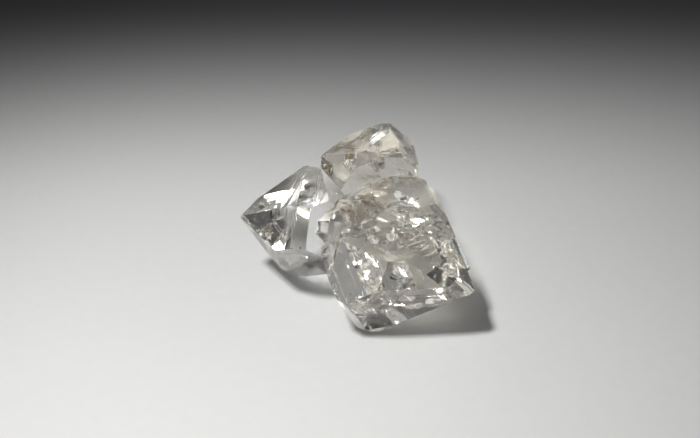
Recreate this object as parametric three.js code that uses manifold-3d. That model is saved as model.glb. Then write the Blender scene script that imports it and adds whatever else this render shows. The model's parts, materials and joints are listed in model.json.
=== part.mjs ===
// A Herkimer diamond cluster: three doubly terminated quartz crystals that grew into each other,
// with a fourth, small one nestling in their seam.
//
// Quartz grows as a six-sided prism closed at both ends by six pyramid faces. Every face of a
// crystal keeps its angle, and only its distance from the middle differs from crystal to crystal.
// So each crystal here is a direction, a turn about it, a centre, and 6 + 6 + 6 face distances.
//
// Millimetres, +Z up. The cluster rests on a prism face of the front crystal, at z = 0.

import * as THREE from 'three';
import { ConvexGeometry } from 'three/addons/geometries/ConvexGeometry.js';
import { mergeVertices } from 'three/addons/utils/BufferGeometryUtils.js';
import Module from 'manifold-3d';

// ---------------------------------------------------------------- driving dimensions

const DEGREE = Math.PI / 180;

// a pyramid face leans this far in from the prism face next to it, on every quartz crystal
const PYRAMID_LEAN = 38.22 * DEGREE;

// yaw: which way the long axis points, from +X towards +Y; pitch: how far it rises.
// spin 0 puts prism face 0 underneath; the other faces follow every 60 degrees.
// head: the pyramid faces at the end that the axis points to; foot: those at the other end.
const FRONT = {
  yaw: -38.3,
  pitch: 0,
  spin: 0,
  centre: [3.45, -5.95, 5.0],
  prism: [5.0, 5.5, 8.5, 4.4, 7.4, 7.3],
  head: [5.7, 7.1, 6.2, 7.0, 8.6, 7.0],
  foot: [3.3, 7.1, 8.9, 6.0, 6.2, 5.3],
};

// parallel individuals of the front crystal: steps outwards (+) or inwards (-) from its faces
const FRONT_LEDGES = {
  shoulder: { prism3: 0.5, prism4: -1.6, foot3: 0.3, foot4: 0.3, head2: -5, head3: -4, head4: -3 },
  cheek: {
    prism3: -0.6, prism4: -0.5, prism5: -1,
    foot3: -1, foot4: 0.7, foot5: -0.1,
    head2: -4, head4: -3,
  },
  flank: {
    prism1: -2, prism2: -0.1, prism3: -0.15,
    head0: -1.5, head1: 0.3, head2: 0.4, head3: -0.6, head4: -1,
  },
};
const LEDGE_INSET = 0.15; // all their other faces stand this far in

const LEFT = {
  yaw: -7.4,
  pitch: -4.6,
  spin: 7.6,
  centre: [-3.06, -3.45, 6.6],
  prism: [6.1, 5.0, 4.6, 5.1, 5.7, 4.0],
  head: [4.3, 5.8, 3.4, 5.8, 4.3, 4.6],
  foot: [5.8, 3.7, 4.9, 5.0, 5.4, 5.1],
  // where its growth was stopped by the front crystal: a face that slopes down to the right
  contact: { facing: [0.71, 0.015, 0.71], distance: 4.05 },
};

const REAR = {
  yaw: 133.7,
  pitch: -22.1,
  spin: 49.7,
  centre: [2.8, 4.8, 6.4],
  prism: [5.4, 5.5, 5.3, 5.2, 5.2, 5.4],
  head: [6.0, 5.8, 5.4, 3.7, 6.0, 5.8],
  foot: [3.1, 6.3, 6.6, 5.3, 3.7, 6.0],
};

// a small crystal nestling in the seam between the left one and the front one
const NESTLING = {
  yaw: 80,
  pitch: 50,
  spin: 20,
  centre: [-0.6, -7.0, 8.8],
  prism: [2.0, 2.2, 2.5, 2.0, 2.1, 2.1],
  head: [2.2, 1.9, 2.0, 1.6, 1.7, 2.2],
  foot: [2.4, 2.8, 2.6, 2.5, 2.6, 2.9],
};

// low terraces: one face of a crystal grew a little further than the rest. rise: how far it stands
// proud; inset: how far its edge keeps from the edges around it; more: where it keeps further off.
const TERRACES = [
  { crystal: FRONT, face: 'prism3', rise: 0.07, inset: 0.9, more: { foot3: -3.2, foot4: -2.4 } },
  { crystal: FRONT, face: 'head3', rise: 0.06, inset: 0.5, more: { head4: -1.3 } },
  { crystal: FRONT, face: 'head2', rise: 0.08, inset: 0.6, more: { prism3: -2.2 } },
  { crystal: FRONT, face: 'head5', rise: 0.07, inset: 0.7, more: { prism5: -2.6 } },
  { crystal: FRONT, face: 'prism1', rise: 0.08, inset: 0.8, more: { head0: -1.9 } },
  { crystal: LEFT, face: 'foot1', rise: 0.06, inset: 0.8, more: {} },
  { crystal: LEFT, face: 'prism2', rise: 0.06, inset: 0.7, more: { foot2: -1.2 } },
  { crystal: REAR, face: 'prism0', rise: 0.07, inset: 0.7, more: { head0: -1.5 } },
  { crystal: REAR, face: 'foot4', rise: 0.08, inset: 0.6, more: { prism4: -1.4 } },
  { crystal: REAR, face: 'head3', rise: 0.07, inset: 0.6, more: {} },
  { crystal: REAR, face: 'prism2', rise: 0.08, inset: 0.8, more: { head2: -1.6 } },
];

// three-sided pits and hillocks strewn over a face; size: the widest of them
const ROUGH_FACES = [
  { crystal: REAR, face: 'prism3', pits: 7, hillocks: 6, size: 0.6 },
  { crystal: REAR, face: 'foot3', pits: 4, hillocks: 3, size: 0.5 },
  { crystal: REAR, face: 'foot4', pits: 5, hillocks: 4, size: 0.55 },
  { crystal: REAR, face: 'prism4', pits: 4, hillocks: 4, size: 0.5 },
  { crystal: FRONT, face: 'foot3', pits: 6, hillocks: 4, size: 0.55 },
  { crystal: FRONT, face: 'prism2', pits: 4, hillocks: 3, size: 0.5 },
];
const PIT_DEPTH = 0.3; // of its width
const HILLOCK_HEIGHT = 0.14; // of its width
const SMALLEST_MARK = 0.45; // of the widest
const MARKED_REACH = 0.92; // how far the marks spread, of the way from the face's middle to its edge
const MARK_TURN = 0.3; // radians, the most that one mark is turned against the next
const FIRST_SEED = 11;

// shell-shaped chips knocked off corners: which corner (the crystal's outermost one towards a
// direction), the radius of the chip's curve, and how deep it bites
const CHIPS = [
  { crystal: FRONT, towards: [-0.75, -0.65, 0.05], radius: 1.0, bite: 0.28 },
  { crystal: FRONT, towards: [-0.3, -0.6, -0.75], radius: 0.9, bite: 0.22 },
  { crystal: FRONT, towards: [0.75, 0.6, -0.1], radius: 0.9, bite: 0.3 },
  { crystal: REAR, towards: [-0.35, 0.9, 0.2], radius: 1.0, bite: 0.3 },
  { crystal: REAR, towards: [0.8, 0.5, 0.3], radius: 0.8, bite: 0.22 },
  { crystal: LEFT, towards: [-0.4, 0.6, -0.7], radius: 0.8, bite: 0.22 },
];
const CHIP_SIDES = 20; // of the ball that a chip follows: round it, and from top to bottom
const CHIP_RINGS = 14;

const SAME_POINT = 1e-4; // corners nearer than this are one corner

// ---------------------------------------------------------------- solids

const wasm = await Module();
wasm.setup();

function toSolid(geometry) {
  const bare = geometry.clone();
  bare.deleteAttribute('normal');
  bare.deleteAttribute('uv');
  const merged = mergeVertices(bare, SAME_POINT);
  const vertProperties = new Float32Array(merged.attributes.position.array);
  const triVerts = new Uint32Array(merged.index.array);
  return new wasm.Manifold(new wasm.Mesh({ numProp: 3, vertProperties, triVerts }));
}

function toGeometry(solid) {
  const mesh = solid.getMesh();
  const geometry = new THREE.BufferGeometry();
  geometry.setAttribute('position', new THREE.BufferAttribute(mesh.vertProperties, 3));
  geometry.setIndex(new THREE.BufferAttribute(mesh.triVerts, 1));
  return geometry;
}

// ---------------------------------------------------------------- crystals

function faceNormals({ yaw, pitch, spin }) {
  const axis = new THREE.Vector3(
    Math.cos(yaw * DEGREE) * Math.cos(pitch * DEGREE),
    Math.sin(yaw * DEGREE) * Math.cos(pitch * DEGREE),
    Math.sin(pitch * DEGREE),
  );
  const down = new THREE.Vector3(0, 0, -1).projectOnPlane(axis).normalize();
  const side = new THREE.Vector3().crossVectors(axis, down);
  const normals = { prism: [], head: [], foot: [] };
  for (let k = 0; k < 6; k += 1) {
    const angle = (spin + 60 * k) * DEGREE;
    const outward = down.clone().multiplyScalar(Math.cos(angle));
    outward.addScaledVector(side, Math.sin(angle));
    const leaning = outward.clone().multiplyScalar(Math.cos(PYRAMID_LEAN));
    normals.prism.push(outward);
    normals.head.push(leaning.clone().addScaledVector(axis, Math.sin(PYRAMID_LEAN)));
    normals.foot.push(leaning.clone().addScaledVector(axis, -Math.sin(PYRAMID_LEAN)));
  }
  return normals;
}

function facePlanes(crystal) {
  const normals = faceNormals(crystal);
  const centre = new THREE.Vector3(...crystal.centre);
  const planes = [];
  for (const kind of ['prism', 'head', 'foot']) {
    normals[kind].forEach((normal, k) => {
      const distance = crystal[kind][k] + normal.dot(centre);
      planes.push({ normal, distance });
    });
  }
  if (crystal.contact) {
    const normal = new THREE.Vector3(...crystal.contact.facing).normalize();
    planes.push({ normal, distance: crystal.contact.distance + normal.dot(centre) });
  }
  return planes;
}

// the corner where three planes meet, or null where they don't meet in a point
function corner(a, b, c) {
  const across = new THREE.Vector3().crossVectors(b.normal, c.normal);
  const volume = a.normal.dot(across);
  if (Math.abs(volume) < 1e-6) {
    return null;
  }
  const point = across.multiplyScalar(a.distance);
  point.addScaledVector(new THREE.Vector3().crossVectors(c.normal, a.normal), b.distance);
  point.addScaledVector(new THREE.Vector3().crossVectors(a.normal, b.normal), c.distance);
  return point.divideScalar(volume);
}

function cornersOf(planes) {
  const corners = [];
  for (let i = 0; i < planes.length; i += 1) {
    for (let j = 0; j < i; j += 1) {
      for (let k = 0; k < j; k += 1) {
        const point = corner(planes[i], planes[j], planes[k]);
        if (point && planes.every(({ normal, distance }) => normal.dot(point) < distance + 1e-5)) {
          corners.push(point);
        }
      }
    }
  }
  return corners;
}

function crystalSolid(crystal) {
  return toSolid(new ConvexGeometry(cornersOf(facePlanes(crystal))));
}

// A parallel individual: a second crystal in the same position, turned the same way, whose faces
// stand further out (+) or further in (-). Grown together, the two meet in straight ledges.
function parallelGrowth(crystal, all, steps) {
  const grown = { ...crystal };
  for (const kind of ['prism', 'head', 'foot']) {
    grown[kind] = crystal[kind].map((distance, k) => distance + (steps[`${kind}${k}`] ?? all));
  }
  return grown;
}

// ---------------------------------------------------------------- growth marks and chips

function terrace({ crystal, face, rise, inset, more }) {
  return crystalSolid(parallelGrowth(crystal, -inset, { ...more, [face]: rise }));
}

// a simple dice: it throws the same numbers, from 0 to 1, on every run
function dice(seed) {
  let state = seed;
  return () => {
    state = (state * 16807) % 2147483647;
    return state / 2147483647;
  };
}

// a face's corners and its outward direction
function faceOutline(crystal, face) {
  const planes = facePlanes(crystal);
  const order = { prism: 0, head: 6, foot: 12 };
  const index = order[face.slice(0, -1)] + Number(face.slice(-1));
  const corners = cornersOf(planes).filter((point) => {
    return Math.abs(planes[index].normal.dot(point) - planes[index].distance) < SAME_POINT;
  });
  return { corners, normal: planes[index].normal };
}

// a three-sided cone whose point looks along `towards`
function triangularCone(radius, height, centre, towards, turn) {
  const cone = new THREE.ConeGeometry(radius, height, 3);
  cone.rotateY(turn);
  const stand = new THREE.Quaternion();
  stand.setFromUnitVectors(new THREE.Vector3(0, 1, 0), towards);
  cone.applyQuaternion(stand);
  cone.translate(centre.x, centre.y, centre.z);
  return toSolid(cone);
}

function roughen(solid, { crystal, face, pits, hillocks, size }, seed) {
  const { corners, normal } = faceOutline(crystal, face);
  const roll = dice(seed);
  const middle = new THREE.Vector3();
  corners.forEach((point) => middle.addScaledVector(point, 1 / corners.length));
  let rough = solid;
  for (let n = 0; n < pits + hillocks; n += 1) {
    const a = corners[Math.floor(roll() * corners.length)];
    const b = corners[Math.floor(roll() * corners.length)];
    const edgePoint = a.clone().lerp(b, roll());
    const place = middle.clone().lerp(edgePoint, MARKED_REACH * Math.sqrt(roll()));
    const width = size * (SMALLEST_MARK + (1 - SMALLEST_MARK) * roll());
    const turn = MARK_TURN * roll();
    if (n < pits) {
      const inward = normal.clone().negate();
      rough = rough.subtract(triangularCone(width, 2 * PIT_DEPTH * width, place, inward, turn));
    } else {
      rough = rough.add(triangularCone(width, 2 * HILLOCK_HEIGHT * width, place, normal, turn));
    }
  }
  return rough;
}

function chip({ crystal, towards, radius, bite }) {
  const outward = new THREE.Vector3(...towards).normalize();
  const corners = cornersOf(facePlanes(crystal));
  corners.sort((a, b) => outward.dot(b) - outward.dot(a));
  const centre = corners[0].addScaledVector(outward, radius - bite);
  const ball = new THREE.SphereGeometry(radius, CHIP_SIDES, CHIP_RINGS);
  ball.translate(centre.x, centre.y, centre.z);
  return toSolid(ball);
}

// a crystal with the marks on its own faces, before its neighbours cover part of them
function markedCrystal(crystal) {
  let solid = crystalSolid(crystal);
  ROUGH_FACES.forEach((rough, n) => {
    if (rough.crystal === crystal) {
      solid = roughen(solid, rough, FIRST_SEED + n);
    }
  });
  TERRACES.filter((step) => step.crystal === crystal).forEach((step) => {
    solid = solid.add(terrace(step));
  });
  return solid;
}

// ---------------------------------------------------------------- the cluster

let cluster = markedCrystal(FRONT);
for (const crystal of [LEFT, REAR, NESTLING]) {
  cluster = cluster.add(markedCrystal(crystal));
}
for (const steps of Object.values(FRONT_LEDGES)) {
  cluster = cluster.add(crystalSolid(parallelGrowth(FRONT, -LEDGE_INSET, steps)));
}
for (const mark of CHIPS) {
  cluster = cluster.subtract(chip(mark));
}

// where a step closed over a pit, the hollow under it is filled: only the outermost surface stays
cluster = cluster.decompose().reduce((outer, one) => (one.volume() > outer.volume() ? one : outer));

// the origin sits under the middle of the whole cluster, at the height that it rests on
const extent = cluster.boundingBox();
const middle = [0, 1].map((side) => (extent.min[side] + extent.max[side]) / 2);
cluster = cluster.translate([-middle[0], -middle[1], -extent.min[2]]);

const quartz = new THREE.MeshStandardMaterial({
  color: 0xe6e4de,
  roughness: 0.05,
  metalness: 0,
  transparent: true,
  opacity: 0.55,
});

const clusterMesh = new THREE.Mesh(toGeometry(cluster), quartz);
clusterMesh.name = 'crystal_cluster';

const part = new THREE.Group();
part.add(clusterMesh);

export default part;
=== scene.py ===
# %% [markdown]
# # A Herkimer diamond cluster
# Three quartz crystals and a small fourth one have grown into each other. They are clear as water
# where they are sound and full of cracks where they aren't. Nearly all that is seen inside them is
# the room and the table, bent and mirrored by flat faces. So the order here is: the outside, then
# what lies inside, then the glass, then table and light. Blender works in metres, and a crystal is
# easier to measure in mm, so MM turns one into the other.

# %% The frame and a few tools
import json
import math
import random

import bmesh
import bpy
from mathutils import Matrix, Vector

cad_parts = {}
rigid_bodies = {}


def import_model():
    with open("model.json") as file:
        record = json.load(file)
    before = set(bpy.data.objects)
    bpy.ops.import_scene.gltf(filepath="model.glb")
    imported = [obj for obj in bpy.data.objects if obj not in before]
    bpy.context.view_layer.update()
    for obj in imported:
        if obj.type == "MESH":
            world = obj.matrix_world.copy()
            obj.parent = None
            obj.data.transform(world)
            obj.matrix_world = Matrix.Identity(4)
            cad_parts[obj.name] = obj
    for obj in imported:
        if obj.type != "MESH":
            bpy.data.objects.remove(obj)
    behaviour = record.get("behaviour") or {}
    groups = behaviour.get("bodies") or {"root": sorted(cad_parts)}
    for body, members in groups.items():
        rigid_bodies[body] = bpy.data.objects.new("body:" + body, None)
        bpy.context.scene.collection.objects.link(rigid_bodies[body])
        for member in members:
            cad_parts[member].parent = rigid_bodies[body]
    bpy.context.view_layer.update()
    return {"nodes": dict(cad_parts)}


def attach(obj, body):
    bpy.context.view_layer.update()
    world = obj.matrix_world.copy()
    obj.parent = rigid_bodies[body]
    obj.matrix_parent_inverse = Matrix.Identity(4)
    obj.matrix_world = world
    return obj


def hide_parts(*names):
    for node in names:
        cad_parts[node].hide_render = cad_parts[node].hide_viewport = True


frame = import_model()

MM = 0.001
BODY = "root"
scene = bpy.context.scene


def only(piece):
    """Selects this piece and nothing else."""
    bpy.ops.object.select_all(action="DESELECT")
    piece.select_set(True)
    bpy.context.view_layer.objects.active = piece
    return piece


# %% [markdown]
# ## The crystals' outside
# The real faces are flat as window glass and meet at quartz's own fixed angles. They could be cut
# from a block with bisect planes, but the solid already has them, so a copy of it is enough. It
# comes as loose triangles: it is merged, and triangles that lie in one plane are dissolved into one
# whole face. A natural edge is never a perfect knife, so the long edges get a hair-thin bevel, which
# catches the lamp. An edge whose bevel would run into its neighbours is left as it is.

# %% Which edges get a bevel
EDGE_WIDTH = 0.035 * MM
LONG_EDGE = 1.3 * MM
SHARP = math.radians(18)
ROOM = 3.0 * EDGE_WIDTH
THIN_POINT = math.sin(math.radians(20))


def has_room(edge):
    """True where no other corner of the two faces beside an edge lies too near for the bevel,
    and no face runs out into a thin point at its end."""
    start, end = edge.verts
    along = (end.co - start.co).normalized()
    for face in edge.link_faces:
        for corner in face.verts:
            if corner not in edge.verts and (corner.co - start.co).cross(along).length <= ROOM:
                return False
    for loop in edge.link_loops:
        for neighbour in (loop.link_loop_prev.edge, loop.link_loop_next.edge):
            way = (neighbour.verts[1].co - neighbour.verts[0].co).normalized()
            if way.cross(along).length <= THIN_POINT:
                return False
    return True


def gets_bevel(edge):
    """True for a long, sharp edge that points outwards and has room beside it."""
    is_long = edge.is_convex and edge.calc_length() > LONG_EDGE
    return is_long and edge.calc_face_angle(0) > SHARP and has_room(edge)


print("bevel width, mm:", round(EDGE_WIDTH / MM, 3), "room it needs, mm:", round(ROOM / MM, 3))

# %% A copy of the solid, with whole faces and fine edges
SAME_POINT = 0.0005 * MM
SAME_PLANE = math.radians(0.3)

only(frame["nodes"]["crystal_cluster"])
bpy.ops.object.duplicate()
crystals = bpy.context.active_object
crystals.name = "quartz_crystals"
bpy.ops.object.parent_clear(type="CLEAR_KEEP_TRANSFORM")
for key in list(crystals.keys()):
    if key.startswith("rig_"):
        del crystals[key]

bpy.ops.object.mode_set(mode="EDIT")
bpy.ops.mesh.select_all(action="SELECT")
bpy.ops.mesh.remove_doubles(threshold=SAME_POINT)
bpy.ops.mesh.dissolve_limited(angle_limit=SAME_PLANE)
faceted = bmesh.from_edit_mesh(crystals.data)
for face in faceted.faces:
    face.select_set(False)
long_edges = [edge for edge in faceted.edges if gets_bevel(edge)]
for edge in long_edges:
    edge.select_set(True)
print("edges that get a bevel:", len(long_edges))
bmesh.update_edit_mesh(crystals.data)
bpy.ops.mesh.bevel(offset=EDGE_WIDTH, segments=2, profile=0.5, clamp_overlap=False)
bpy.ops.mesh.select_all(action="DESELECT")
bpy.ops.object.mode_set(mode="OBJECT")
print("faces of the crystals:", len(crystals.data.polygons))

# %% [markdown]
# ## Cracks
# A crack inside a crystal is a film of air between two faces of quartz. Seen steeply it is nearly
# invisible, and seen at a slant it is a perfect mirror. It could be faked with a silver sheet, but a
# real film does both by itself: a torn sheet, warped a little and given a hair's thickness. Five
# such films are made here, and each crack is a copy of one, stretched and turned in its own way.

# %% How one torn film is made
FILM_RADIUS = 1.0 * MM
FILM_GAP = 0.005 * MM
TORN_BY = 0.34 * MM
WARP_SIZE = 1.3 * MM
RIPPLE_SIZE = 0.3 * MM
ROUND_UNDER = math.radians(50)


def torn_film(name, seed, corners, ripple, warp, streak=1.0, cuts=4):
    """A sheet about 2 mm across with a torn outline, warped and rippled like broken glass.
    Ripple and warp are heights in mm. Ripples become streaks where the sheet is squeezed before
    it is rippled and pulled back after."""
    bpy.ops.object.select_all(action="DESELECT")
    bpy.ops.mesh.primitive_circle_add(vertices=corners, radius=FILM_RADIUS, fill_type="TRIFAN")
    film = only(bpy.context.active_object)
    film.name = name
    bpy.ops.object.mode_set(mode="EDIT")
    bpy.ops.mesh.select_all(action="SELECT")
    bpy.ops.transform.vertex_random(offset=TORN_BY, uniform=0.35, normal=0.0, seed=seed)
    bpy.ops.transform.resize(value=(1.0, 1.0, 0.0))
    bpy.ops.mesh.subdivide(number_cuts=cuts)
    bpy.ops.transform.resize(value=(1 / streak, 1.0, 1.0))
    bpy.ops.object.mode_set(mode="OBJECT")
    for label, size, height in (("warp", WARP_SIZE, warp), ("ripple", RIPPLE_SIZE, ripple)):
        texture = bpy.data.textures.new(f"{name}_{label}", "CLOUDS")
        texture.noise_scale = size
        texture.noise_depth = 0
        displace = film.modifiers.new(label, "DISPLACE")
        displace.texture = texture
        displace.texture_coords = "LOCAL"
        displace.direction = "Z"
        displace.mid_level = 0.5
        displace.strength = height * MM
        bpy.ops.object.modifier_apply(modifier=label)
    bpy.ops.object.mode_set(mode="EDIT")
    bpy.ops.mesh.select_all(action="SELECT")
    bpy.ops.transform.resize(value=(streak, 1.0, 1.0))
    bpy.ops.object.mode_set(mode="OBJECT")
    gap = film.modifiers.new("gap", "SOLIDIFY")
    gap.thickness = FILM_GAP
    bpy.ops.object.modifier_apply(modifier="gap")
    bpy.ops.object.shade_smooth_by_angle(angle=ROUND_UNDER)
    return film


# %% Five torn films to copy from
FLAT, STREAKED, COMBED, RIPPLED, CURLED = PATTERNS = (
    torn_film("film_flat", 3, 6, 0.006, 0.02),
    torn_film("film_streaked", 12, 5, 0.04, 0.02, streak=6.0, cuts=9),
    torn_film("film_combed", 12, 5, 0.03, 0.02, streak=6.0),
    torn_film("film_rippled", 8, 8, 0.03, 0.10),
    torn_film("film_curled", 21, 6, 0.02, 0.35),
)
print("faces of each film:", [len(film.data.polygons) for film in PATTERNS])

# %% [markdown]
# ### The large flakes
# The large cracks are the bright and the smoky flakes that catch the eye. They could be left to
# chance like the small ones, but each real one mirrors something of its own, so they are placed one
# by one. The bright ones face the way that sends the lamp's light on to the viewer; the tilt of the
# crystal's face above decides which way that is. The last five face the dark side of the room and
# look like smoke, and the one before them mirrors the pale wall and looks grey.

# %% How a film is put in its place
LEAST_COVER = 0.02 * MM


def add_film(pattern, centre, facing, length, width, turn):
    """A copy of a film: sized in mm, turned in its own plane by degrees, and stood at its place
    so that it faces a direction."""
    only(pattern)
    bpy.ops.object.duplicate()
    film = only(bpy.context.active_object)
    film.scale = (length / 2, width / 2, 1.0)
    bpy.ops.object.transform_apply(location=False, rotation=False, scale=True)
    upright = Vector(facing).normalized().to_track_quat("Z", "Y").to_matrix().to_4x4()
    turned = Matrix.Rotation(math.radians(turn), 4, "Z")
    film.matrix_world = Matrix.Translation(Vector(centre) * MM) @ upright @ turned
    bpy.ops.object.transform_apply(location=True, rotation=True, scale=True)
    return film


def is_inside(piece, cover):
    """True where every point of the piece lies inside the quartz, with that much quartz over it."""
    for vertex in piece.data.vertices:
        _, near, normal, _ = crystals.closest_point_on_mesh(vertex.co)
        if (vertex.co - near).dot(normal) > -cover:
            return False
    return True


def films_by_hand(rows):
    """Adds the films of a list, and prints whether each lies inside the quartz."""
    films = []
    for pattern, centre, facing, length, width, turn in rows:
        film = add_film(pattern, centre, facing, length, width, turn)
        verdict = "inside" if is_inside(film, LEAST_COVER) else "CUTS THE OUTSIDE"
        print([round(c, 1) for c in centre], verdict)
        films.append(film)
    return films


# %% The large flakes, one by one
# facings that send the lamp's light on to the viewer, for each face that it comes in through
UNDER_TOP = (-0.14, -0.41, 0.90)
UNDER_FRONT = (-0.33, -0.66, 0.68)
UNDER_LOW = (-0.10, -0.76, 0.64)
UNDER_RIGHT = (0.06, -0.56, 0.83)
THROUGH_TOP = (-0.12, -0.715, 0.69)

# pattern, centre mm, facing, length mm, width mm, turn in degrees
FLAKES = [
    (STREAKED, (5.4, -0.6, 8.4), UNDER_TOP, 2.6, 0.8, -32),
    (RIPPLED, (4.2, -3.6, 8.5), UNDER_TOP, 1.0, 0.8, 20),
    (STREAKED, (5.9, -4.3, 8.5), UNDER_TOP, 2.4, 1.3, 42),
    (STREAKED, (1.75, -8.8, 8.35), UNDER_FRONT, 2.9, 0.9, -38),
    (STREAKED, (2.9, -9.6, 8.2), UNDER_TOP, 1.3, 0.8, -50),
    (FLAT, (6.9, -5.9, 8.5), UNDER_TOP, 0.8, 0.4, 10),
    (STREAKED, (-2.0, -6.0, 8.3), UNDER_FRONT, 1.9, 0.4, 75),
    (STREAKED, (3.8, -9.8, 7.9), UNDER_LOW, 2.4, 0.8, -40),
    (RIPPLED, (9.0, -5.9, 7.3), UNDER_RIGHT, 1.2, 0.7, 0),
    (STREAKED, (8.9, -8.7, 6.6), UNDER_RIGHT, 2.2, 0.7, 75),
    (STREAKED, (3.5, -9.5, 4.2), THROUGH_TOP, 2.2, 0.9, 8),
    (STREAKED, (0.9, -9.4, 3.0), THROUGH_TOP, 1.8, 0.7, -30),
    (STREAKED, (5.8, -9.8, 5.0), THROUGH_TOP, 1.6, 0.4, 25),
    (STREAKED, (1.8, -3.4, 8.4), UNDER_TOP, 1.4, 0.6, -60),
    (RIPPLED, (3.4, -1.8, 8.8), UNDER_TOP, 1.2, 0.4, -20),
    (RIPPLED, (7.4, -2.4, 8.2), UNDER_TOP, 1.0, 0.5, -70),
    (RIPPLED, (-1.9, -0.9, 9.7), (0.31, -0.42, 0.85), 1.0, 0.6, -30),
    (FLAT, (7.8, -1.9, 8.2), (0.55, -0.17, 0.82), 1.8, 1.3, 60),
    (FLAT, (5.4, -6.1, 8.2), (-0.32, -0.94, -0.10), 2.0, 1.3, 20),
    (FLAT, (4.2, -7.5, 8.1), (-0.62, -0.43, 0.65), 1.8, 1.1, 0),
    (FLAT, (7.8, -8.4, 7.2), (0.91, -0.16, 0.38), 2.0, 1.2, 80),
    (FLAT, (3.7, -10.1, 7.3), (0.16, -0.22, 0.96), 1.5, 1.0, 0),
    (FLAT, (2.1, -8.8, 2.6), (0.78, -0.53, 0.34), 2.2, 1.2, 30),
]
cracks = films_by_hand(FLAKES)

# %% [markdown]
# ### The healed cracks
# Where two crystals meet, old cracks have healed and left sheets of tiny bubbles, milky to the eye.
# Thousands of bubbles could be modelled, but nobody could tell them apart: a rough film looks the
# same and costs next to nothing. These lie nearly level, just under the seam.

# %% The healed cracks in the seam, one by one
# pattern, centre mm, facing, length mm, width mm, turn in degrees
VEILS = [
    (RIPPLED, (-0.4, -4.3, 9.5), (0.15, -0.25, 0.95), 2.6, 2.0, 20),
    (RIPPLED, (1.2, -4.2, 8.9), (-0.1, 0.1, 1.0), 2.8, 2.0, 50),
    (RIPPLED, (-0.6, -6.2, 8.9), (0.1, -0.1, 1.0), 2.0, 1.4, 80),
    (RIPPLED, (2.2, -1.9, 8.9), (0.1, 0.1, 1.0), 2.6, 1.3, -25),
    (RIPPLED, (0.8, -2.2, 9.0), (0.0, -0.2, 1.0), 2.0, 1.6, 10),
    (RIPPLED, (0.2, -6.4, 8.7), (0.2, 0.2, 1.0), 2.2, 1.2, 35),
    (RIPPLED, (2.4, -4.6, 8.7), (0.1, 0.0, 1.0), 2.4, 1.2, 60),
]
veils = films_by_hand(VEILS)

# %% [markdown]
# ### The swarms
# The small cracks come in swarms, where the crystal grew in a hurry: close under its skin, near the
# top and at the right end. They are too many to place by hand, and a particle system would leave
# nothing to export, so chance places real copies, from a fixed seed. A swarm that has a depth is
# pushed to the nearest face and then up to that far in; one without fills its whole reach. A film
# that would cut the outside is thrown away.

# %% The swarms
# centre mm, reach mm, how many, smallest and largest in mm, depth under the skin in mm, milky
SWARMS = [
    ((4.6, -3.4, 9.9), (4.4, 4.0, 0.4), 100, 0.6, 2.4, 2.0, False),
    ((2.6, -2.2, 9.9), (2.6, 2.2, 0.4), 30, 0.4, 1.4, 0.9, False),
    ((5.2, -6.2, 9.9), (3.0, 2.2, 0.4), 50, 0.5, 2.0, 1.8, False),
    ((5.8, -4.2, 7.4), (2.8, 2.6, 0.8), 18, 1.2, 2.6, 0.0, False),
    ((8.8, -8.2, 8.2), (1.6, 2.6, 0.7), 36, 0.5, 1.8, 1.5, False),
    ((4.2, -11.6, 3.6), (4.4, 0.5, 1.8), 70, 0.5, 2.2, 1.0, False),
    ((4.4, -12.0, 7.8), (2.0, 0.2, 0.8), 5, 0.6, 1.6, 1.2, False),
    ((-1.9, -8.8, 5.0), (0.8, 1.2, 1.8), 10, 0.4, 1.0, 0.8, False),
    ((-1.4, -8.9, 8.6), (0.7, 0.6, 0.6), 5, 0.5, 1.2, 0.8, False),
    ((0.0, -4.0, 10.6), (1.8, 2.4, 0.8), 10, 0.4, 1.4, 1.0, False),
    ((0.2, -3.6, 9.4), (2.0, 2.4, 1.0), 16, 0.6, 1.8, 0.7, True),
    ((1.0, 6.6, 12.0), (4.0, 3.0, 1.4), 5, 0.2, 0.6, 1.0, False),
    ((2.4, 7.0, 9.4), (3.2, 2.6, 1.8), 20, 0.6, 2.0, 0.0, True),
    ((2.6, 2.6, 9.6), (3.0, 0.4, 1.2), 5, 0.4, 1.0, 1.0, False),
    ((-8.0, -3.2, 8.8), (1.5, 1.2, 1.0), 26, 0.10, 0.30, 0.5, False),
]
SWARM_COVER = 0.04 * MM
LEAST_DEPTH = 0.2  # mm
SLIM = (0.3, 0.8)  # width as a part of the length
PICK = (FLAT, FLAT, COMBED, RIPPLED, CURLED)
chance = random.Random(5)
left_out = 0
for centre, reach, count, least, most, depth, milky in SWARMS:
    for _ in range(count):
        point = Vector(centre[k] + chance.uniform(-1, 1) * reach[k] for k in range(3))
        if depth:
            _, near, normal, _ = crystals.closest_point_on_mesh(point * MM)
            point = near / MM - normal * chance.uniform(LEAST_DEPTH, depth)
        facing = [chance.gauss(0, 1) for k in range(3)]
        size = chance.uniform(least, most)
        slim = chance.uniform(*SLIM)
        film = add_film(chance.choice(PICK), point, facing, size, size * slim, chance.uniform(0, 360))
        if is_inside(film, SWARM_COVER):
            (veils if milky else cracks).append(film)
        else:
            bpy.data.objects.remove(film)
            left_out += 1
print("left out, because they would cut the outside:", left_out)

# %% All cracks in one piece, all veils in another


def join(pieces, name):
    """Joins pieces of one material into one."""
    bpy.ops.object.select_all(action="DESELECT")
    for piece in pieces:
        piece.select_set(True)
    bpy.context.view_layer.objects.active = pieces[0]
    bpy.ops.object.join()
    whole = bpy.context.active_object
    whole.name = name
    print(f"{name}: {len(pieces)} pieces, {len(whole.data.polygons)} faces")
    return whole


for pattern in PATTERNS:
    bpy.data.objects.remove(pattern)
fractures = join(cracks, "inner_fractures")
veils = join(veils, "healed_veils")

# %% [markdown]
# ## Grains
# A Herkimer diamond often holds crumbs of dark mineral that it grew around. They could be painted
# into the glass, but a grain is seen from two or three sides at once through different faces, so
# each is a real crumb: a coarse ball, dented at random.

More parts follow.
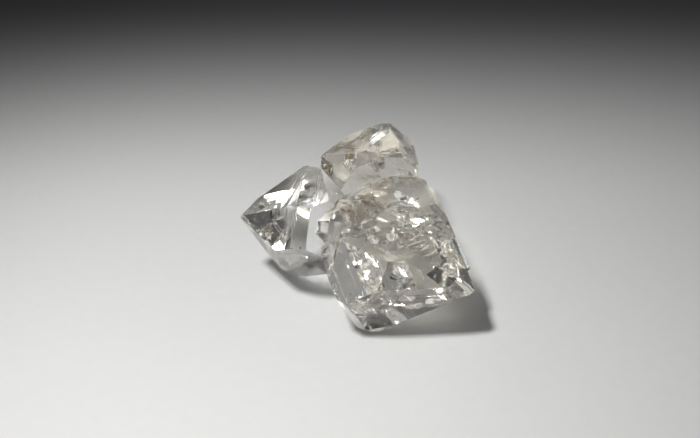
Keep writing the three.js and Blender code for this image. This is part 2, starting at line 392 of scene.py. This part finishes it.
# %% Dark grains
# centre mm, half its size in mm
GRAINS = [
    ((2.4, -1.5, 8.3), (0.12, 0.34, 0.16)),
    ((1.7, -2.0, 8.6), (0.08, 0.08, 0.06)),
    ((-4.9, -6.0, 7.4), (0.09, 0.08, 0.09)),
    ((2.6, 3.9, 10.7), (0.07, 0.07, 0.22)),
    ((-2.3, 6.0, 8.6), (0.07, 0.08, 0.10)),
]
DENTED_BY = 0.18 * MM
grains = []
for n, (centre, half_size) in enumerate(GRAINS):
    bpy.ops.object.select_all(action="DESELECT")
    bpy.ops.mesh.primitive_ico_sphere_add(subdivisions=3, radius=1 * MM, location=Vector(centre) * MM)
    grain = bpy.context.active_object
    grain.scale = half_size
    bpy.ops.object.mode_set(mode="EDIT")
    bpy.ops.mesh.select_all(action="SELECT")
    bpy.ops.transform.vertex_random(offset=DENTED_BY, uniform=0.1, normal=0.6, seed=n)
    bpy.ops.object.mode_set(mode="OBJECT")
    bpy.ops.object.transform_apply(location=True, rotation=True, scale=True)
    grains.append(grain)
grains = join(grains, "dark_grains")

# %% [markdown]
# ## Where the surface changes
# The real crystals differ: one is clear, one frosted, one stained. They could have three materials,
# but they are one piece of quartz and run into each other, so they share one. Masks made from places
# in mm tell it where the quartz is clear, frosted or stained. A mask is a number from 0 to 1. These
# helpers make and combine masks, each with a node or two.


# %% Helpers for masks
def new_material(name):
    """A material with an empty node tree."""
    material = bpy.data.materials.new(name)
    material.use_nodes = True
    material.node_tree.nodes.clear()
    return material, material.node_tree.nodes, material.node_tree.links


def math_node(tree, kind, *values, clamp=False):
    """One math node; each value is a number or a socket to link."""
    node = tree.nodes.new("ShaderNodeMath")
    node.operation = kind
    node.use_clamp = clamp
    for socket, value in zip(node.inputs, values):
        if isinstance(value, (int, float)):
            socket.default_value = value
        else:
            tree.links.new(value, socket)
    return node.outputs["Value"]


def multiply(tree, first, second):
    return math_node(tree, "MULTIPLY", first, second)


def add_part(tree, base, mask, amount, clamp=False):
    """The base, plus an amount where the mask is 1."""
    return math_node(tree, "MULTIPLY_ADD", mask, amount, base, clamp=clamp)


def inverse(tree, mask):
    return math_node(tree, "SUBTRACT", 1.0, mask)


def total(tree, masks):
    """The masks added up, never above 1."""
    result = masks[0]
    for mask in masks[1:]:
        result = math_node(tree, "ADD", result, mask, clamp=True)
    return result


def ramp_down(tree, value, start, end, first=1.0, last=0.0):
    """1 before start, 0 after end, smooth between."""
    node = tree.nodes.new("ShaderNodeMapRange")
    node.interpolation_type = "SMOOTHSTEP"
    tree.links.new(value, node.inputs["Value"])
    node.inputs["From Min"].default_value = start
    node.inputs["From Max"].default_value = end
    node.inputs["To Min"].default_value = first
    node.inputs["To Max"].default_value = last
    return node.outputs["Result"]


def ramp_up(tree, value, start, end):
    """0 before start, 1 after end, smooth between."""
    return ramp_down(tree, value, start, end, first=0.0, last=1.0)


# %% Helpers for noise and colour
def noise(tree, vector, scale, detail=2.0, rough=0.5):
    """Cloudy noise around 0.5; the scale is how many clouds fit in one unit of the vector."""
    node = tree.nodes.new("ShaderNodeTexNoise")
    tree.links.new(vector, node.inputs["Vector"])
    node.inputs["Scale"].default_value = scale
    node.inputs["Detail"].default_value = detail
    node.inputs["Roughness"].default_value = rough
    return node.outputs["Fac"]


def mix_colour(tree, mask, first, second):
    """The first colour where the mask is 0 and the second where it is 1."""
    node = tree.nodes.new("ShaderNodeMix")
    node.data_type = "RGBA"
    tree.links.new(mask, node.inputs["Factor"])
    for socket, value in ((node.inputs[6], first), (node.inputs[7], second)):
        if isinstance(value, tuple):
            socket.default_value = (*value, 1.0)
        else:
            tree.links.new(value, socket)
    return node.outputs[2]


# %% One soft spot, as a node group
SPOT_CORE = 0.35

soft_spot = bpy.data.node_groups.new("soft_spot", "ShaderNodeTree")
for label in ("Where", "Centre", "Reach"):
    soft_spot.interface.new_socket(label, in_out="INPUT", socket_type="NodeSocketVector")
soft_spot.interface.new_socket("Mask", in_out="OUTPUT", socket_type="NodeSocketFloat")
entry = soft_spot.nodes.new("NodeGroupInput")
leave = soft_spot.nodes.new("NodeGroupOutput")
offset = soft_spot.nodes.new("ShaderNodeVectorMath")
offset.operation = "SUBTRACT"
soft_spot.links.new(entry.outputs["Where"], offset.inputs[0])
soft_spot.links.new(entry.outputs["Centre"], offset.inputs[1])
scaled = soft_spot.nodes.new("ShaderNodeVectorMath")
scaled.operation = "DIVIDE"
soft_spot.links.new(offset.outputs["Vector"], scaled.inputs[0])
soft_spot.links.new(entry.outputs["Reach"], scaled.inputs[1])
away = soft_spot.nodes.new("ShaderNodeVectorMath")
away.operation = "LENGTH"
soft_spot.links.new(scaled.outputs["Vector"], away.inputs[0])
fading = ramp_down(soft_spot, away.outputs["Value"], SPOT_CORE, 1.0)
soft_spot.links.new(fading, leave.inputs["Mask"])
print("nodes in a soft spot:", len(soft_spot.nodes))


def spot(tree, where, centre, reach):
    """1 around a centre, fading to 0 at its reach, which may differ along x, y and z."""
    node = tree.nodes.new("ShaderNodeGroup")
    node.node_tree = soft_spot
    tree.links.new(where, node.inputs["Where"])
    node.inputs["Centre"].default_value = centre
    node.inputs["Reach"].default_value = reach
    return node.outputs["Mask"]


# %% [markdown]
# ## Quartz
# Light enters quartz with an index of 1.544 and is bent. Quartz is clear, so nearly all light goes
# through, and a faint absorption warms long paths. It could be a see-through colour mixed over
# what is behind, but only a transmitting glass shows the inner mirror images that make a crystal.

# %% The quartz glass
QUARTZ_IOR = 1.544

quartz, nodes, links = new_material("quartz")
tree = quartz.node_tree
output = nodes.new("ShaderNodeOutputMaterial")
glass = nodes.new("ShaderNodeBsdfPrincipled")
glass.inputs["Metallic"].default_value = 0.0
glass.inputs["IOR"].default_value = QUARTZ_IOR
glass.inputs["Transmission Weight"].default_value = 1.0
absorb = nodes.new("ShaderNodeVolumeAbsorption")
absorb.inputs["Color"].default_value = (0.90, 0.86, 0.80, 1.0)
absorb.inputs["Density"].default_value = 15.0
links.new(absorb.outputs["Volume"], output.inputs["Volume"])
print("index:", QUARTZ_IOR, "density:", absorb.inputs["Density"].default_value)

# %% Which crystal, and which way a face looks
place_of = nodes.new("ShaderNodeTexCoord")
in_mm = nodes.new("ShaderNodeVectorMath")
in_mm.operation = "SCALE"
in_mm.inputs["Scale"].default_value = 1 / MM
links.new(place_of.outputs["Object"], in_mm.inputs[0])
where = in_mm.outputs["Vector"]
at = nodes.new("ShaderNodeSeparateXYZ")
links.new(where, at.inputs["Vector"])
face_way = nodes.new("ShaderNodeSeparateXYZ")
links.new(place_of.outputs["Normal"], face_way.inputs["Vector"])

is_rear = ramp_up(tree, at.outputs["Y"], 2.4, 3.0)
not_rear = inverse(tree, is_rear)
is_left = multiply(tree, ramp_down(tree, at.outputs["X"], -3.4, -2.6), not_rear)
is_front = math_node(tree, "SUBTRACT", not_rear, is_left, clamp=True)

# Blender turns the normal towards the ray that arrives. So for a ray inside the quartz these three
# masks swap sides: a face that looks down is then found by faces_up.
faces_down = ramp_down(tree, face_way.outputs["Z"], -0.45, -0.15)
faces_up = ramp_up(tree, face_way.outputs["Z"], 0.5, 0.8)
faces_back = ramp_up(tree, face_way.outputs["Y"], 0.3, 0.6)
print("nodes in the quartz so far:", len(nodes))

# %% [markdown]
# ### Light that gets in and through
# Real quartz bends the lamp's light onto its own inside and onto the table. Cycles hardly finds such
# paths, and would leave both too dark. They could be traced with very many samples, but a shortcut
# is enough: for shadow rays alone, a part of the light goes straight through, as if the face were a
# plain window. The camera's own rays always meet plain glass.

# %% A window for shadow rays
LIGHT_LET_IN = 0.22
CLEAREST_LETS_IN = 0.6
LIGHT_LET_THROUGH = 0.75

window = nodes.new("ShaderNodeBsdfTransparent")
surface = nodes.new("ShaderNodeMixShader")
links.new(glass.outputs["BSDF"], surface.inputs[1])
links.new(window.outputs["BSDF"], surface.inputs[2])
links.new(surface.outputs["Shader"], output.inputs["Surface"])

# 1 for what is seen through a face of the quartz, 0 for what is seen directly, such as the table
path = nodes.new("ShaderNodeLightPath")
seen_through = math_node(tree, "MINIMUM", path.outputs["Transmission Depth"], 1.0)
seen_directly = inverse(tree, seen_through)

# The table gets its light through the quartz behind the front end, but not through the left
# crystal, whose shadow is dark.
clear_flank = ramp_up(tree, at.outputs["Y"], -6.5, -3.5)
clear_flank = multiply(tree, clear_flank, inverse(tree, is_left))
onto_table = multiply(tree, multiply(tree, seen_directly, clear_flank), LIGHT_LET_THROUGH)
within = add_part(tree, LIGHT_LET_IN, is_left, CLEAREST_LETS_IN - LIGHT_LET_IN)
lets_light_in = add_part(tree, onto_table, seen_through, within)
links.new(multiply(tree, lets_light_in, path.outputs["Is Shadow Ray"]), surface.inputs["Fac"])
print("light let in:", LIGHT_LET_IN, "at most:", CLEAREST_LETS_IN, "and through:", LIGHT_LET_THROUGH)

# %% [markdown]
# ### Frost and pits
# Some real faces are mirrors and others are frosted, etched or pitted by what they grew against.
# Millions of pits could be modelled, but they are finer than a pixel, so roughness blurs what is
# seen through a face: none on most of the left crystal, a mottled frost on the rear one, and frost
# in patches on the front one, underneath it and most of all in the seam.

# %% Frost and pits
MOTTLED_FROST = 0.34
LESS_BELOW = 0.6
LESS_ABOVE = 0.8
LEAST_FROST = 0.005
PATCH_FROST = 0.04
UNDERSIDE_FROST = 0.05
SEAM_FROST = 0.14
ETCHED_FROST = 0.05
PITTED_FROST = 0.2

rear_frost = multiply(tree, noise(tree, where, 1.1, 3.0, 0.6), MOTTLED_FROST)
rear_frost = multiply(tree, rear_frost, add_part(tree, 1.0, faces_down, -LESS_BELOW))
rear_frost = multiply(tree, rear_frost, add_part(tree, 1.0, faces_up, -LESS_ABOVE))

seam = spot(tree, where, (0.2, -3.6, 10.0), (2.8, 3.2, 2.0))
patches = ramp_up(tree, noise(tree, where, 0.55, 2.0, 0.5), 0.48, 0.62)
front_frost = add_part(tree, LEAST_FROST, patches, PATCH_FROST)
front_frost = add_part(tree, front_frost, faces_down, UNDERSIDE_FROST)
front_frost = add_part(tree, front_frost, seam, SEAM_FROST)

etched = ramp_up(tree, noise(tree, where, 5.0, 2.0, 0.6), 0.52, 0.6)
etched = multiply(tree, etched, multiply(tree, faces_down, is_left))
pitted = ramp_up(tree, noise(tree, where, 6.0, 3.0, 0.7), 0.50, 0.62)
in_patches = ramp_up(tree, noise(tree, where, 0.45, 1.0, 0.5), 0.42, 0.52)
pitted = multiply(tree, pitted, multiply(tree, in_patches, is_left))
pitted = multiply(tree, pitted, faces_back)

roughness = multiply(tree, rear_frost, is_rear)
roughness = add_part(tree, roughness, front_frost, is_front, clamp=True)
roughness = add_part(tree, roughness, etched, ETCHED_FROST)
roughness = add_part(tree, roughness, pitted, PITTED_FROST)
print("nodes with the frost:", len(nodes))

# %% [markdown]
# ### Stains
# Iron rust has crept into the seams and along the broken edges, brown where it is thick and beige
# where it is thin. It could be a layer of its own on top, but real rust stains the quartz itself, so
# it is a colour of the glass, and a little roughness with it. Soft spots say where it gathers, and
# noise breaks them up: into crumbs on the rear crystal, and into thin lines on the front one.

# %% Where the rust is
# centre mm, reach mm
STAINS = [
    ((-0.3, 4.6, 11.1), (0.8, 2.4, 1.6)),
    ((-0.6, 6.8, 11.0), (0.6, 1.6, 0.8)),
    ((1.4, 8.9, 11.7), (1.4, 1.2, 0.9)),
    ((2.7, 3.0, 11.2), (0.5, 0.9, 1.2)),
    ((-2.6, 5.7, 8.9), (1.2, 1.4, 1.2)),
    ((-3.3, 7.0, 9.4), (0.9, 1.4, 1.2)),
    ((0.6, 7.6, 12.0), (0.5, 2.6, 0.9)),
    ((-1.6, 7.6, 10.4), (0.9, 1.8, 1.0)),
    ((3.6, 7.6, 12.6), (1.6, 1.2, 0.7)),
    ((0.2, -1.2, 9.9), (2.2, 1.4, 1.2)),
    ((2.0, 2.4, 9.2), (3.0, 1.4, 1.2)),
    ((5.4, 2.2, 9.6), (2.8, 1.4, 0.9)),
    ((1.4, 1.5, 9.4), (2.0, 0.7, 0.8)),
    ((2.6, 0.6, 9.4), (3.4, 0.7, 0.6)),
    ((4.6, 2.8, 9.4), (2.6, 0.6, 0.8)),
    ((-1.2, -4.6, 10.2), (1.8, 2.6, 1.8)),
    ((1.6, -2.0, 9.6), (2.0, 1.4, 0.9)),
    ((9.4, -8.6, 7.0), (1.2, 2.2, 1.2)),
    ((-2.6, -7.4, 7.4), (0.8, 1.0, 1.6)),
]
RUST_ROUGHNESS = 0.3

crumbled = ramp_up(tree, noise(tree, where, 2.6, 4.0, 0.65), 0.36, 0.6)
along = nodes.new("ShaderNodeMapping")
along.inputs["Rotation"].default_value = (0.0, 0.0, math.radians(-31.0))
along.inputs["Scale"].default_value = (0.5, 4.0, 1.5)
links.new(where, along.inputs["Vector"])
lines = ramp_up(tree, noise(tree, along.outputs["Vector"], 1.0, 2.0, 0.5), 0.46, 0.58)
lines = math_node(tree, "MAXIMUM", add_part(tree, 0.5, lines, 0.6), is_rear)
stain = total(tree, [spot(tree, where, centre, reach) for centre, reach in STAINS])
stain = multiply(tree, stain, multiply(tree, crumbled, lines))
roughness = add_part(tree, roughness, stain, RUST_ROUGHNESS, clamp=True)
links.new(roughness, glass.inputs["Roughness"])
print("stained places:", len(STAINS))

# %% The tints, and the rust over them
WATER_CLEAR = (1.0, 1.0, 1.0)
COOL = (0.975, 0.99, 1.0)
WARM = (0.962, 0.95, 0.905)
BEIGE = (0.86, 0.80, 0.70)
PALE_CLOUD = (0.98, 0.97, 0.935)
DEEP_CLOUD = (0.91, 0.88, 0.81)
RUST = (0.19, 0.115, 0.035)

front_tint = mix_colour(tree, is_front, WATER_CLEAR, mix_colour(tree, seam, WARM, BEIGE))
clouds = ramp_down(tree, noise(tree, where, 0.8, 4.0, 0.7), 0.40, 0.60)
tint = mix_colour(tree, is_rear, front_tint, mix_colour(tree, clouds, PALE_CLOUD, DEEP_CLOUD))
tint = mix_colour(tree, is_left, tint, COOL)
links.new(mix_colour(tree, stain, tint, RUST), glass.inputs["Base Color"])
print("nodes with the colours:", len(nodes))

# %% [markdown]
# ### Relief
# A grown face is never quite flat, and the seam is crumbly. The low ledges and pits are in the solid
# already. What is finer could be displaced into the mesh, but through glass a slight turn of the
# normal looks the same, so a bump makes it: a faint unevenness everywhere, stronger on the rear
# crystal, pits on the back of the left one, and crumbs in the seam.

# %% Relief
RELIEF_HEIGHT = 0.05 * MM
LEAST_RELIEF = 0.02
FRONT_RELIEF = 0.05
REAR_RELIEF = 0.5
PIT_DEPTH = 0.2
CRUMB_HEIGHT = 0.9

bump = nodes.new("ShaderNodeBump")
bump.inputs["Strength"].default_value = 1.0
bump.inputs["Distance"].default_value = RELIEF_HEIGHT
relief = add_part(tree, LEAST_RELIEF, is_rear, REAR_RELIEF)
relief = add_part(tree, relief, is_front, FRONT_RELIEF)
height = multiply(tree, noise(tree, where, 0.9, 2.0, 0.5), relief)
height = add_part(tree, height, pitted, -PIT_DEPTH)
crumbly = total(tree, [seam, spot(tree, where, (4.6, 1.0, 9.6), (4.2, 2.4, 1.2))])
crumbs = multiply(tree, noise(tree, where, 1.9, 4.0, 0.65), crumbly)
height = add_part(tree, height, crumbs, CRUMB_HEIGHT)
links.new(height, bump.inputs["Height"])
links.new(bump.outputs["Normal"], glass.inputs["Normal"])
crystals.data.materials.clear()
crystals.data.materials.append(quartz)
print("nodes in the quartz:", len(nodes))

# %% [markdown]
# ## The air in the cracks, and the dark grains
# The inside of a film is air in quartz, so its index is the other way round: 1 / 1.544. It could be
# a mirror with a mask, but with the true index the film is clear or a mirror by itself, as the angle
# has it. A clear crack is smooth. A healed one is full of tiny bubbles, and a rough film gives the
# same milky look. The grains are matt and nearly black.

# %% Crack air, veils and grains
CRACK_ROUGHNESS = 0.03
VEIL_ROUGHNESS = 0.35
SPECKS_PER_METRE = 900.0
GRAIN_SPECKS_PER_METRE = 6000.0


def air_material(name, roughness):
    """Air between faces of quartz, with a trace of rust in it."""
    material, nodes, links = new_material(name)
    output = nodes.new("ShaderNodeOutputMaterial")
    gap = nodes.new("ShaderNodeBsdfPrincipled")
    place_of = nodes.new("ShaderNodeTexCoord")
    gap.inputs["Metallic"].default_value = 0.0
    gap.inputs["Roughness"].default_value = roughness
    gap.inputs["IOR"].default_value = 1 / QUARTZ_IOR
    gap.inputs["Transmission Weight"].default_value = 1.0
    specks = noise(material.node_tree, place_of.outputs["Object"], SPECKS_PER_METRE)
    tint = mix_colour(material.node_tree, specks, (1.0, 1.0, 1.0), (1.0, 0.96, 0.9))
    links.new(tint, gap.inputs["Base Color"])
    links.new(gap.outputs["BSDF"], output.inputs["Surface"])
    return material


mineral, nodes, links = new_material("dark_mineral")
output = nodes.new("ShaderNodeOutputMaterial")
matt = nodes.new("ShaderNodeBsdfPrincipled")
place_of = nodes.new("ShaderNodeTexCoord")
specks = noise(mineral.node_tree, place_of.outputs["Object"], GRAIN_SPECKS_PER_METRE)
links.new(mix_colour(mineral.node_tree, specks, (0.05, 0.03, 0.02), (0.16, 0.09, 0.04)),
          matt.inputs["Base Color"])
matt.inputs["Roughness"].default_value = 0.7
links.new(matt.outputs["BSDF"], output.inputs["Surface"])

for piece, material in (
    (fractures, air_material("crack_air", CRACK_ROUGHNESS)),
    (veils, air_material("veil_air", VEIL_ROUGHNESS)),
    (grains, mineral),
):
    piece.data.materials.clear()
    piece.data.materials.append(material)
    print(piece.name, "is made of", material.name)

# %% [markdown]
# ## What moves with what
# On a chair the legs and the wheels would ride on different bodies. A cluster of crystals is one
# rigid lump, so all four pieces ride on the same body, and the bevelled copy takes the place of the
# plain solid.

# %% All pieces on their body
for piece in (crystals, fractures, veils, grains):
    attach(piece, BODY)
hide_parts("crystal_cluster")
print("pieces:", [piece.name for piece in (crystals, fractures, veils, grains)])

# %% [markdown]
# ## The table
# The cluster lies on pale matt paper, which falls into the dark behind it; that dark is painted
# shade in the paper's colour. A plain white plane would do, but clear quartz is full of mirror
# images of the table, so its tone matters: it has a faint grain of fibres, and it darkens towards
# the back by that painted shade. A hair of air is left under the cluster, because glass in full
# contact with the table shows a black patch.

# %% The table
TABLE_SIZE = 1.6  # metres
AIR_UNDER_BASE = 0.03 * MM
FIBRES_PER_METRE = 900.0
# where the painted shade on the paper starts, and where it is darkest
PAINTED_SHADE_FROM = 12 * MM
PAINTED_SHADE_DARKEST_AT = 80 * MM

bpy.ops.object.select_all(action="DESELECT")
bpy.ops.mesh.primitive_plane_add(size=TABLE_SIZE, location=(0.0, 0.0, -AIR_UNDER_BASE))
table = bpy.context.active_object
table.name = "table"
paper, nodes, links = new_material("pale_table")
tree = paper.node_tree
output = nodes.new("ShaderNodeOutputMaterial")
matt = nodes.new("ShaderNodeBsdfPrincipled")
place_of = nodes.new("ShaderNodeTexCoord")
at = nodes.new("ShaderNodeSeparateXYZ")
links.new(place_of.outputs["Object"], at.inputs["Vector"])
fibres = noise(tree, place_of.outputs["Object"], FIBRES_PER_METRE, 3.0)
paper_colour = mix_colour(tree, fibres, (0.73, 0.73, 0.715), (0.77, 0.77, 0.755))
# Painted shade: the paper's colour is mixed into near black from 12 to 80 mm back, standing in for the
# lamp's light falling off there
painted_falloff = ramp_down(tree, at.outputs["Y"], PAINTED_SHADE_FROM, PAINTED_SHADE_DARKEST_AT)
links.new(mix_colour(tree, painted_falloff, (0.10, 0.10, 0.105), paper_colour), matt.inputs["Base Color"])
matt.inputs["Roughness"].default_value = 0.6
links.new(matt.outputs["BSDF"], output.inputs["Surface"])
table.data.materials.append(paper)
print("table, m:", TABLE_SIZE, "darkens from y", PAINTED_SHADE_FROM, "to", PAINTED_SHADE_DARKEST_AT)

# %% [markdown]
# ## The lamp and the room
# One small soft lamp stands at the upper left in a dim room. A studio full of large lights would be
# the usual choice, but a clear crystal looks like what it mirrors, so the dark room matters as much
# as the lamp. The room is only a glow around the lamp and three soft patches: a pale wall on the
# right, a low window on the left with the sky in it, and a light corner behind.

# %% The lamp
LAMP_PLACE = (-0.0320, -0.0430, 0.1047)  # metres
LAMP_AIM = Vector((-0.005, -0.006, 0.0))  # metres
LAMP_RADIUS = 7 * MM
LAMP_CONE = math.radians(80)
LAMP_WATTS = 0.47

bpy.ops.object.light_add(type="SPOT")
lamp = bpy.context.active_object
lamp.name = "lamp"
lamp.location = LAMP_PLACE
lamp.data.shadow_soft_size = LAMP_RADIUS
lamp.data.spot_size = LAMP_CONE
lamp.data.spot_blend = 1.0
lamp.data.energy = LAMP_WATTS
lamp.rotation_mode = "QUATERNION"
lamp.rotation_quaternion = (lamp.location - LAMP_AIM).to_track_quat("Z", "Y")
print("lamp, mm away:", round((lamp.location - LAMP_AIM).length / MM))

# %% The room
# how much a direction points to the lamp, and how bright the room is there
GLOW = ((0.0, 0.02), (0.6, 0.035), (0.9, 0.11), (0.98, 0.55))
# direction, reach, colour: the wall, the window, the corner
PATCHES = (
    ((0.72, 0.36, 0.58), (0.55, 0.55, 0.45), (0.27, 0.27, 0.265)),
    ((-0.90, -0.36, 0.25), (0.32, 0.32, 0.22), (0.66, 0.73, 0.84)),
    ((-0.71, 0.50, 0.50), (0.32, 0.32, 0.32), (0.34, 0.34, 0.335)),
)
SLIGHTLY_BLUE = 1.02

world = bpy.data.worlds.new("dim_room")
scene.world = world
world.use_nodes = True
tree = world.node_tree
nodes, links = tree.nodes, tree.links
nodes.clear()
room_output = nodes.new("ShaderNodeOutputWorld")
room = nodes.new("ShaderNodeBackground")
way = nodes.new("ShaderNodeTexCoord")
towards = nodes.new("ShaderNodeVectorMath")
towards.operation = "DOT_PRODUCT"
towards.inputs[1].default_value = lamp.location.normalized()
fade = nodes.new("ShaderNodeValToRGB")
for n, (position, glow) in enumerate(GLOW):
    step = fade.color_ramp.elements[n] if n < 2 else fade.color_ramp.elements.new(position)
    step.position = position
    step.color = (glow, glow, glow * SLIGHTLY_BLUE, 1.0)
links.new(way.outputs["Generated"], towards.inputs[0])
links.new(towards.outputs["Value"], fade.inputs["Fac"])
light = fade.outputs["Color"]
for direction, reach, colour in PATCHES:
    patch = spot(tree, way.outputs["Generated"], direction, reach)
    light = mix_colour(tree, patch, light, colour)
links.new(light, room.inputs["Color"])
links.new(room.outputs["Background"], room_output.inputs["Surface"])
print("patches of light in the room:", len(PATCHES))

# %% [markdown]
# ## The camera
# The cluster is seen from the front and from above, at 33 degrees, from about 10 cm away. A long
# lens from afar could show it as large, but would flatten it. From this near, the front crystal looks
# larger than the rear one, as in small things that are looked at closely.

# %% The camera
TARGET = Vector((-0.385, 2.455, 5.0)) * MM
LOOK_DOWN = math.radians(33.0)
AWAY = 97.2 * MM

bpy.ops.object.camera_add()
camera = bpy.context.active_object
camera.name = "camera"
camera.data.lens = 50.0
camera.data.sensor_width = 36.0
camera.data.clip_start = 0.005
camera.data.clip_end = 3.0
camera.location = TARGET + AWAY * Vector((0.0, -math.cos(LOOK_DOWN), math.sin(LOOK_DOWN)))
camera.rotation_euler = (math.radians(90.0) - LOOK_DOWN, 0.0, 0.0)
scene.camera = camera
print("camera, mm:", [round(c / MM, 1) for c in camera.location])

# %% [markdown]
# ## Light paths and tones
# A ray may be mirrored some twenty times inside a crystal before it comes out. With few bounces it
# would end on the way and leave black spots, so many are allowed. Bright glints aren't clamped, as
# they are what makes the crystal sparkle. The Standard view keeps the whites of the paper as they are.

# %% Light paths and tones
MANY_BOUNCES = 32

scene.cycles.max_bounces = MANY_BOUNCES
scene.cycles.transmission_bounces = MANY_BOUNCES
scene.cycles.transparent_max_bounces = MANY_BOUNCES
scene.cycles.glossy_bounces = 16
scene.cycles.sample_clamp_indirect = 0.0
scene.cycles.use_denoising = True
scene.view_settings.view_transform = "Standard"
print("bounces:", scene.cycles.max_bounces)
